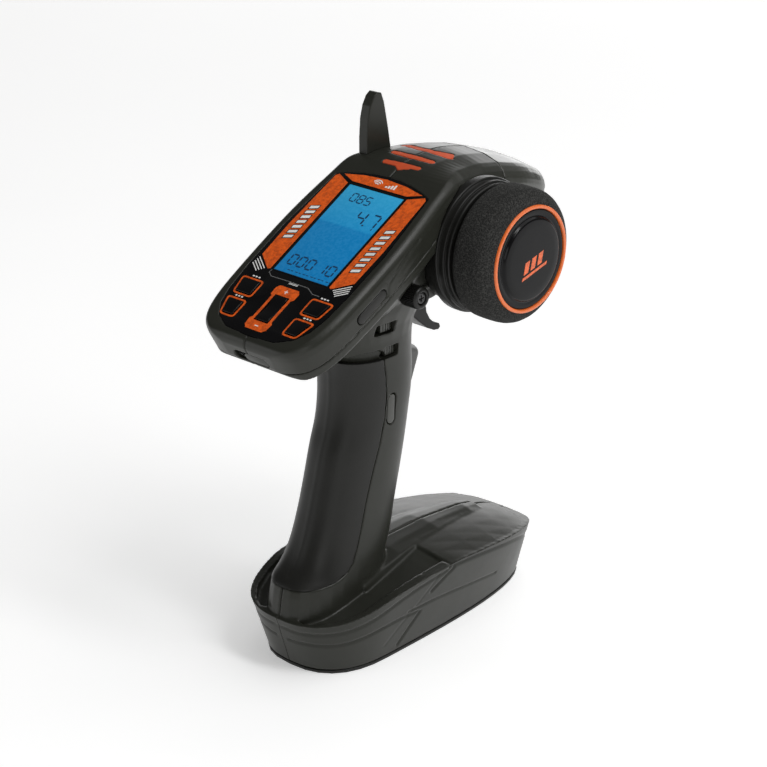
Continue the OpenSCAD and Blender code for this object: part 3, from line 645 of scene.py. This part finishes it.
def armour_lines():
    """Grooves and ridges pressed into the right flank of the head, as [points, half width, depth]."""
    step = face_line([(35, -14.6, -11.6), (35, -11.9, -7.6), (35, -7.6, -6.4), (34.6, 2, -4.6),
                      (34, 12, -4.4)])
    shelf = face_line([(35, -6.6, -11.5), (34.8, 4.2, -9.6), (34.2, 12, -10.5), (33.4, 18, -14)])
    cut_low = face_line([(30.2, -27.4, 0.2), (32.6, -25.4, -2.2), (35, -21.6, -5.6)])
    cut_high = face_line([(30.2, -18.6, 0.2), (32.6, -16.4, -2.2), (35, -12.4, -5.6)])
    return [(step, 0.6, 0.5), (shelf, 0.8, -0.3), (cut_low, 0.4, 0.35), (cut_high, 0.4, 0.35)]


body_shell("body_shell_left", "body_left")
body_shell("body_shell_right", "body_right")
head_shell("head_shell_left", "head_left", 9)
head_shell("head_shell_right", "head_right", 9, lines=armour_lines())
head_shell("hood_shell", "hood", 5, "hood_plastic")


def sleeve():
    """Rubber sleeve of the grip, with the faint raised line down its back."""
    co, mesh = remeshed("grip_sleeve", 0.5)
    co = onto_grip(co, 34, 152)
    co = relax(co, edges_of(mesh), 3)
    spine = [(0, float(curve_through(GRIP[:, 0], GRIP[:, 1], z)), z) for z in range(44, 136, 4)]
    co = carve(co, normals_of(co, mesh), [(spine, 1.2, -0.22)])
    set_co(mesh, co)
    finish_piece("sleeve_rubber", mesh, "grip_rubber", angle=60, stands_for=("grip_sleeve",))


sleeve()
head_shell("fin_blade", "antenna_fin", 14, "case_plastic", 0.3)
head_shell("vent_relief", "vent_inlays", 5, "vent_red", 0.24)
head_shell("trigger_blade", "trigger", 5, "dark_plastic", 0.35, "trigger_lever")


# ---------- turned pieces ----------

def turned(name, profile, centre, slot, body, around=160, stands_for=(), shape=None, angle=32):
    """A closed turned solid about an axis along X. profile: [radius, x]; radius 0 closes at the axis."""
    verts, faces, rings = [], [], []
    for r, x in profile:
        if r < 1e-6:
            rings.append([len(verts)])
            verts.append((x * MM, centre[0] * MM, centre[1] * MM))
            continue
        ring = []
        for k in range(around):
            a = 2 * math.pi * k / around
            rr = r if shape is None else shape(r, x, k, a)
            ring.append(len(verts))
            verts.append((x * MM, (centre[0] + rr * math.cos(a)) * MM, (centre[1] + rr * math.sin(a)) * MM))
        rings.append(ring)
    closed = profile[0][0] > 1e-6
    for i in range(len(rings) if closed else len(rings) - 1):
        a, b = rings[i], rings[(i + 1) % len(rings)]
        for k in range(around):
            m = (k + 1) % around
            quad = [a[k % len(a)], a[m % len(a)], b[m % len(b)], b[k % len(b)]]
            face = list(dict.fromkeys(quad))
            if len(face) > 2:
                faces.append(face)
    return piece(name, verts, faces, slot, body, None, angle, stands_for)


def shoulder(r0, x0, r1, x1, n=7):
    """Profile points from one to the other along a rounded corner."""
    corner = [i / n * math.pi / 2 for i in range(n + 1)]
    return [(r0 + (r1 - r0) * math.sin(t), x0 + (x1 - x0) * (1 - math.cos(t))) for t in corner]


def wheel():
    """Foam tyre, coloured ring, glossy cap and the slanted marks printed on it."""
    axle = (WHEEL_Y, WHEEL_Z)
    x0, x1 = TYRE_X0, TYRE_X0 + TYRE_W
    dents = rng.normal(0, 1, (9, 3))

    def soft(r, x, k, a):
        wave = sum(d[0] * math.sin((i + 2) * a + d[1] * 3 + x * 0.12 * d[2]) for i, d in enumerate(dents)) / 9
        return r + (0.1 * wave if r > 26 else 0)

    tread = [(21.5, x0 + 0.05), (26.6, x0 + 0.05)] + shoulder(26.6, x0 + 0.05, TYRE_R - 0.1, x0 + 3.6)
    tread += [(TYRE_R, x0 + 6), (TYRE_R, x0 + 9), (TYRE_R - 0.1, x1 - 8), (TYRE_R - 0.35, x1 - 6),
              (TYRE_R - 0.8, x1 - 4.6), (TYRE_R - 1.6, x1 - 3.4), (TYRE_R - 2.7, x1 - 2.4),
              (TYRE_R - 4, x1 - 1.4), (TYRE_R - 5.2, x1 - 0.75),
              (RING_R + 0.5, x1 - 0.45), (RING_R + 0.5, x1 - 1.5), (21.5, x1 - 1.5)]
    tyre = turned("tyre_foam", tread, axle, "foam", "steering_wheel", 192, ("foam_tyre",), soft, 70)
    turned("rim_ring", [(RING_R - 1.15, x1 - 1.4), (RING_R + 0.42, x1 - 1.4), (RING_R + 0.42, x1 + 0.1),
                        (RING_R + 0.3, x1 + 0.33), (RING_R, x1 + 0.44), (RING_R - 0.7, x1 + 0.44),
                        (RING_R - 1, x1 + 0.3), (RING_R - 1.15, x1 + 0.05)],
           axle, "orange_plastic", "steering_wheel", 192, stands_for=("wheel_ring",), angle=50)
    turned("cap_disc", [(0, x1 - 1.4), (RING_R - 1.3, x1 - 1.4), (RING_R - 1.3, x1 - 0.5),
                        (RING_R - 1.5, x1 - 0.25), (RING_R - 1.9, x1 - 0.15),
                        (19.9, x1 - 0.15), (19.4, x1 - 0.3), (18.9, x1 - 0.3),
                        (18.5, x1), (18.2, x1 + 0.5), (17.8, x1 + 0.82), (17.2, x1 + 0.98), (14, x1 + 1.1),
                        (8, x1 + 1.22), (0, x1 + 1.26)],
           axle, "gloss_black", "steering_wheel", 192, stands_for=("wheel_cap",), angle=50)
    marks = []
    for k in range(3):
        u = 4.6 * k - 9
        marks.append([(u, -2.4), (u + 3, -2.4), (u + 5.4, 2.4), (u + 2.4, 2.4)])
    marks.append([(-10.6, -4.6), (6, -4.6), (6.6, -3.4), (-10, -3.4)])
    verts, faces = [], []
    for mark in marks:
        base = len(verts)
        for x in (x1 + 0.9, x1 + 1.3):
            for u, v in mark:
                a = math.radians(14)
                y = u * math.cos(a) - v * math.sin(a)
                z = u * math.sin(a) + v * math.cos(a)
                verts.append((x * MM, (WHEEL_Y + 2 + y) * MM, (WHEEL_Z - 1 + z) * MM))
        faces += [[base + i for i in (0, 1, 2, 3)], [base + 7 - i for i in range(4)]]
        faces += [[base + i, base + (i + 1) % 4, base + 4 + (i + 1) % 4, base + 4 + i] for i in range(4)]
    piece("cap_marks", verts, faces, "orange_plastic", "steering_wheel", print_orange)


wheel()


def housing():
    """Drum beside the wheel, with two stepped rings on its rim."""
    x = DRUM_X0
    profile = [(3.06, x), (27, x), (27, x + 7.45), (29.4, x + 7.45), (29.9, x + 7.7), (29.98, x + 8.2),
               (29.98, x + 11.2), (29.7, x + 11.6), (29.1, x + 11.8), (28.9, x + 12.2), (28.95, x + 14.2),
               (28.7, x + 14.6), (28.2, x + 14.75), (28.1, x + 15), (28.3, x + 16.6), (28, x + 17.1),
               (27.4, x + 17.36), (25.8, x + 17.36), (25.4, x + 17), (25.4, x + 3), (7, x + 3),
               (7, x + 15.9), (3.06, x + 15.9)]
    turned("drum_rim", profile, (WHEEL_Y, WHEEL_Z), "dark_plastic", FIXED, 192, ("wheel_housing",), angle=28)


housing()


def knob():
    """Ribbed trim knob with the well of its screw."""
    y, z, x, r = 8.0, 170.0, 27.0, 5.0

    def ribbed(rr, px, k, a):
        return rr - (0.34 if k % 4 in (0, 1) and x + 0.9 < px < x + 8.3 and rr > 4.4 else 0)

    profile = [(0, x - 13.9), (1.88, x - 13.9), (1.88, x + 0.02), (4.2, x + 0.02), (4.75, x + 0.3),
               (4.92, x + 0.85)]
    profile += [(r, x + 1 + 0.6 * i) for i in range(13)]
    profile += [(4.86, x + 8.6), (4.6, x + 9.05), (4.1, x + 9.35), (3.2, x + 9.4), (2.8, x + 9.2),
                (2.7, x + 8.95), (2.7, x + 7.02), (1.05, x + 7.02), (1.05, x + 0.6), (0, x + 0.6)]
    turned("trim_grip", profile, (y, z), "dark_plastic", "trim_dial", 144, ("trim_knob",), ribbed, 30)


knob()


# ---------- printed artwork on the face ----------

def inset(points, d):
    """A convex outline moved outwards by d (inwards when negative)."""
    pts = [Vector(p) for p in points]
    area = sum(a.x * b.y - b.x * a.y for a, b in zip(pts, pts[1:] + pts[:1]))
    s = 1 if area > 0 else -1
    out = []
    for i, p in enumerate(pts):
        u = (p - pts[i - 1]).normalized()
        v = (pts[(i + 1) % len(pts)] - p).normalized()
        n1, n2 = Vector((u.y, -u.x)) * s, Vector((v.y, -v.x)) * s
        bis = (n1 + n2)
        bis = bis / max(0.35, bis.length_squared / 2)
        out.append(tuple(p + bis * d))
    return out


def cut_corners(points, r, n=5):
    """An outline with its corners rounded to about r."""
    out = []
    for i, p in enumerate(points):
        p, a, b = Vector(p), Vector(points[i - 1]), Vector(points[(i + 1) % len(points)])
        ra = min(r, (a - p).length * 0.45)
        rb = min(r, (b - p).length * 0.45)
        pa, pb = p + (a - p).normalized() * ra, p + (b - p).normalized() * rb
        for k in range(n + 1):
            t = k / n
            out.append(tuple(pa * (1 - t) ** 2 + p * 2 * t * (1 - t) + pb * t * t))
    return out


def film(name, shapes, mat, low=0.0, high=0.05, slot="gloss_black", body=FIXED):
    """Thin printed shapes on the face plane. Each is an outline, or (outline, inner outline) for a ring."""
    verts, faces = [], []
    for shape in shapes:
        ring = isinstance(shape, tuple)
        outer, inner = shape if ring else (shape, None)
        n, base = len(outer), len(verts)
        for h in (low, high):
            verts += [face_point(x, y, h) for x, y in outer]
        faces += [[base + i, base + (i + 1) % n, base + n + (i + 1) % n, base + n + i] for i in range(n)]
        if not ring:
            faces += [[base + n + i for i in range(n)], [base + n - 1 - i for i in range(n)]]
            continue
        mid = len(verts)
        for h in (low, high):
            verts += [face_point(x, y, h) for x, y in inner]
        faces += [[mid + (i + 1) % n, mid + i, mid + n + i, mid + n + (i + 1) % n] for i in range(n)]
        for lift in (0, n):
            faces += [[base + lift + i, base + lift + (i + 1) % n, mid + lift + (i + 1) % n, mid + lift + i]
                      for i in range(n)]
    return piece(name, verts, faces, slot, body, mat, 30)


def stroke(points, width):
    """Outline of a line of the given width through points."""
    left, right = [], []
    pts = [Vector(p) for p in points]
    for i, p in enumerate(pts):
        a, b = pts[max(0, i - 1)], pts[min(len(pts) - 1, i + 1)]
        d = (b - a).normalized()
        n = Vector((-d.y, d.x)) * width / 2
        left.append(tuple(p + n))
        right.append(tuple(p - n))
    return left + right[::-1]


KEY_UPPER = [(15, -35.8), (25.6, -35.8), (24.2, -43.8), (15, -43.8)]
KEY_LOWER = [(15, -47.6), (24.2, -47.6), (21.6, -55.8), (15, -55.8)]


def mirrored(points, side):
    return [(side * x, y) for x, y in points]


def face_print():
    """Orange bars round the display, with the dashes, hatching and signal marks on them."""
    side_bar = [(26.2, 29.2), (27.4, -3), (26.9, -21.8), (18.4, -28), (17.2, -27.2), (17.2, 27.2),
                (24.8, 30.6)]
    top_bar = [(-22.6, 31.4), (-12, 33.6), (0, 34.5), (12, 33.6), (22.6, 31.4), (15.6, 28.7), (-15.6, 28.7)]
    bars = [mirrored(side_bar, -1), side_bar, top_bar]
    film("face_bars", bars, print_orange)
    lines = []
    for s in (-1, 1):
        for k in range(4):
            d = 1.4 + 1.2 * k
            ends = [Vector((26.9, -21.8)) - Vector((0.82, 0.571)) * u + Vector((0.571, -0.82)) * d
                    for u in (0.8 + 0.5 * k, 9.4 - 0.3 * k)]
            lines.append(stroke([(s * e.x, e.y) for e in ends], 0.45))
    dash = []
    for side, count, start, pitch in ((-1, 7, -9.5, 3.1), (1, 8, -16, 3.4)):
        for k in range(count):
            y = start + pitch * k
            x = side * 22.4
            dash.append([(x - 2.1, y - 1), (x + 2.1, y + 0.4), (x + 2.1, y + 2), (x - 2.1, y + 0.6)])
    waves = []
    for r in (1.0, 2.0, 3.0):
        waves.append(stroke([(-3 + r * math.cos(t), 30.9 + r * math.sin(t) - 0.8)
                             for t in [math.radians(a) for a in range(35, 146, 10)]], 0.5))
    for k in range(4):
        x, top = 2 + 1.5 * k, 31 + 0.6 * k
        waves.append([(x, 30.1), (x + 1, 30.1), (x + 1, top), (x, top)])
    backs = [inset(p, 0.42) for p in dash]
    film("face_dash_shadow", backs, print_black, 0.04, 0.08)
    film("face_dashes", dash, print_white, 0.07, 0.11)
    film("face_hatching", lines, print_white)
    film("face_waves", waves, print_white, 0.04, 0.09)
    trim = [(-15.9, -27.6), (-16.2, -29.4), (-13.6, -31), (-4, -30.8), (8, -31), (12.4, -33.2), (16.4, -33.2)]
    film("face_trim_line", [stroke(trim, 0.32)], print_grey)
    frame_line = [(-16.3, -27.6), (16.3, -27.6), (16.3, 27.6), (-16.3, 27.6)]
    film("display_edge", [(inset(frame_line, 0.1), inset(frame_line, -0.45))], print_black, 0.0, 0.12)


def key_print():
    """Orange frames round the keys and the rocker, and the small white marks beside them."""
    rings = []
    for side in (-1, 1):
        for shape in (KEY_UPPER, KEY_LOWER):
            pts = mirrored(shape, side)
            rings.append((cut_corners(inset(pts, 0.95), 1.9), cut_corners(inset(pts, 0.12), 1.3)))
    film("key_rings", rings, print_orange, 0.0, 0.14)
    outer_right = [(5.4, -34), (6.7, -35.6), (6.6, -39.2), (5.5, -40.2), (5.5, -52.8), (6.5, -53.8),
                   (6.1, -57.4), (4.6, -59)]
    hole_right = [(4.1, -38.9), (4.15, -39), (4.15, -39.1), (4.15, -39.6), (4.15, -53.4), (4.15, -53.9),
                  (4.15, -54), (4.1, -54.1)]
    outer, hole = (right + mirrored(right, -1)[::-1] for right in (outer_right, hole_right))
    film("rocker_surround", [(outer, hole)], print_orange, 0.0, 0.14)
    plus = [(-0.22, -37.5), (0.22, -37.5), (0.22, -36.7), (1.0, -36.7), (1.0, -36.26), (0.22, -36.26),
            (0.22, -35.5), (-0.22, -35.5), (-0.22, -36.26), (-1.0, -36.26), (-1.0, -36.7), (-0.22, -36.7)]
    minus = [(-1, -56.9), (1, -56.9), (1, -56.4), (-1, -56.4)]
    film("rocker_signs", [plus, minus], print_white, 0.12, 0.18)
    icons = []
    for side in (-1, 1):
        for y in (-34.0, -45.9):
            for k in range(3):
                x = side * 20 + 1.7 * (k - 1)
                icons.append([(x - 0.5, y), (x + 0.5, y), (x + 0.5, y + 0.7), (x - 0.5, y + 0.7)])
    for k in range(3):
        y = -32 + 0.5 * k
        icons.append([(-2.6, y), (2.6, y), (2.6, y + 0.24), (-2.6, y + 0.24)])
    film("key_marks", icons, print_white)


# lit bars of each figure shown: a top, b and c right, d foot, e and f left, g middle
SEGMENTS = {"0": "abcdef", "1": "bc", "4": "fgbc", "5": "afgcd", "7": "abc", "8": "abcdefg"}


def digit(char, x, y, w, h, t):
    """The lit bars of a seven-bar figure whose lower left corner is at x, y."""
    right, mid, top = x + w, y + h / 2, y + h
    bars = {"a": ((x, top), (right, top)), "g": ((x, mid), (right, mid)), "d": ((x, y), (right, y)),
            "f": ((x, mid), (x, top)), "b": ((right, mid), (right, top)),
            "e": ((x, y), (x, mid)), "c": ((right, y), (right, mid))}
    out = []
    for key in SEGMENTS[char]:
        a, b = Vector(bars[key][0]), Vector(bars[key][1])
        d = (b - a).normalized()
        n = Vector((-d.y, d.x)) * t / 2
        p, q, tip = a + d * t * 0.25, b - d * t * 0.25, d * t / 2
        out.append([tuple(v) for v in (p, p + tip - n, q - tip - n, q, q - tip + n, p + tip + n)])
    return out


def display_ink():
    """Figures on the display: a voltage, a ratio and a counter, with a row of short dashes."""
    shapes = []
    for i, c in enumerate("085"):
        shapes += digit(c, -9.6 + 4.1 * i, 18.4, 2.9, 4.6, 0.62)
    for i, c in enumerate("47"):
        shapes += digit(c, 1.4 + 7.2 * i, 7.8, 4.2, 7.0, 0.85)
    shapes.append([(6.6, 7.4), (7.5, 7.4), (7.5, 8.2), (6.6, 8.2)])
    shapes += digit("1", 10.6, 6.2, 2.2, 3.0, 0.5)
    for i, c in enumerate("00010"):
        x = -12.2 + 5.1 * i + (1.6 if i > 2 else 0)
        shapes += digit(c, x, -22.2, 3.4, 5.6, 0.8)
    for k in range(6):
        x = -9 + 4.4 * k
        shapes.append([(x, -25.3), (x + 1.5, -25.3), (x + 1.5, -24.9), (x, -24.9)])
        shapes.append([(x + 2, -25.3), (x + 3.2, -25.3), (x + 3.2, -24.9), (x + 2, -24.9)])
    film("display_figures", shapes, lcd_ink, -0.21, -0.15, "display_glass")


face_print()
key_print()
display_ink()


# ---------- pieces with rounded edges ----------

BODY_OF = {n: b for b, ns in frame["record"]["behaviour"]["bodies"].items() for n in ns}
ROUNDING = {
    "face_plate": 0.18, "key_upper_left": 0.45, "key_lower_left": 0.45, "key_upper_right": 0.45,
    "key_lower_right": 0.45, "menu_rocker": 0.5, "power_switch": 0.45, "upper_grip_switch": 0.35,
    "lower_grip_switch": 0.35, "grip_button": 0.5, "port_flap_right": 0.45, "port_flap_left": 0.45,
    "foot_strip": 0.4, "trim_screw": 0.2, "battery_door": 0.3, "display": 0.15, "case_screws": 0.15,
}
for part, width in ROUNDING.items():
    rounded(part + "_smooth", part, width, BODY_OF[part])


def switch_ridges(name, body, centre, pitch, half):
    """Three thumb ridges across a grip switch."""
    verts, faces = [], []
    sides = ((0, 1, 3, 2), (4, 6, 7, 5), (0, 4, 5, 1), (2, 3, 7, 6), (0, 2, 6, 4), (1, 5, 7, 3))
    for k in range(3):
        base = len(verts)
        middle = (centre[0], centre[1] + pitch * k, centre[2])
        for corner in product((-1, 1), repeat=3):
            verts.append(tuple((middle[i] + half[i] * s) * MM for i, s in enumerate(corner)))
        faces += [[base + i for i in side] for side in sides]
    # the ridges take the hood's material, whose colour is lightened as painted sheen
    piece(name, verts, faces, "hood_plastic", body)


switch_ridges("upper_switch_ridges", "upper_switch", (18.25, 3.4, 153.6), 1.6, (0.22, 0.25, 1.9))
switch_ridges("lower_switch_ridges", "lower_switch", (15.65, 8.8, 140.8), 1.4, (0.22, 0.22, 1.9))


# ---------- floor and light ----------

def stage_floor():
    """A plain white floor."""
    mesh = bpy.data.meshes.new("floor")
    mesh.from_pydata([(-6, -6, 0), (6, -6, 0), (6, 6, 0), (-6, 6, 0)], [], [(0, 1, 2, 3)])
    obj = bpy.data.objects.new("floor", mesh)
    bpy.context.scene.collection.objects.link(obj)
    g = Graph("floor_paper")
    tone = g.ramp(g.noise(2), [(0.3, (0.93, 0.93, 0.93)), (0.7, (0.95, 0.95, 0.95))])
    g.set(Base_Color=tone, Roughness=0.9, Emission_Color=tone, Emission_Strength=0.4, Specular_IOR_Level=0.0)
    paint(obj, g.mat)


def light(name, place, aim, size, radiance):
    """A white soft box of the given size in metres and brightness, aimed at a point."""
    data = bpy.data.lights.new(name, "AREA")
    data.shape = "RECTANGLE"
    data.size, data.size_y = size
    data.energy = radiance * math.pi * size[0] * size[1]
    obj = bpy.data.objects.new(name, data)
    bpy.context.scene.collection.objects.link(obj)
    obj.location = place
    obj.rotation_mode = "QUATERNION"
    obj.rotation_quaternion = (Vector(aim) - Vector(place)).to_track_quat("-Z", "Y")


stage_floor()
centre = (0, 0.03, 0.13)
light("overhead", (0.9, 1.0, 2.4), (0.2, 0.4, 0), (3.2, 3.2), 1.3)
light("right_soft", (0.9, 0.1, 1.15), centre, (0.24, 0.8), 9.0)
light("backdrop", (-1.5, 2.1, 0.5), centre, (2.6, 0.9), 2.5)
light("front_left", (-1.2, -1.5, 0.4), centre, (0.7, 1.0), 1.6)
light("front_right", (1.2, -1.2, 0.6), centre, (0.8, 0.7), 1.7)
world = bpy.data.worlds.new("studio")
world.use_nodes = True
world.node_tree.nodes["Background"].inputs["Color"].default_value = (1, 1, 0.98, 1)
world.node_tree.nodes["Background"].inputs["Strength"].default_value = 0.1
bpy.context.scene.world = world
bpy.context.scene.view_settings.view_transform = "Standard"
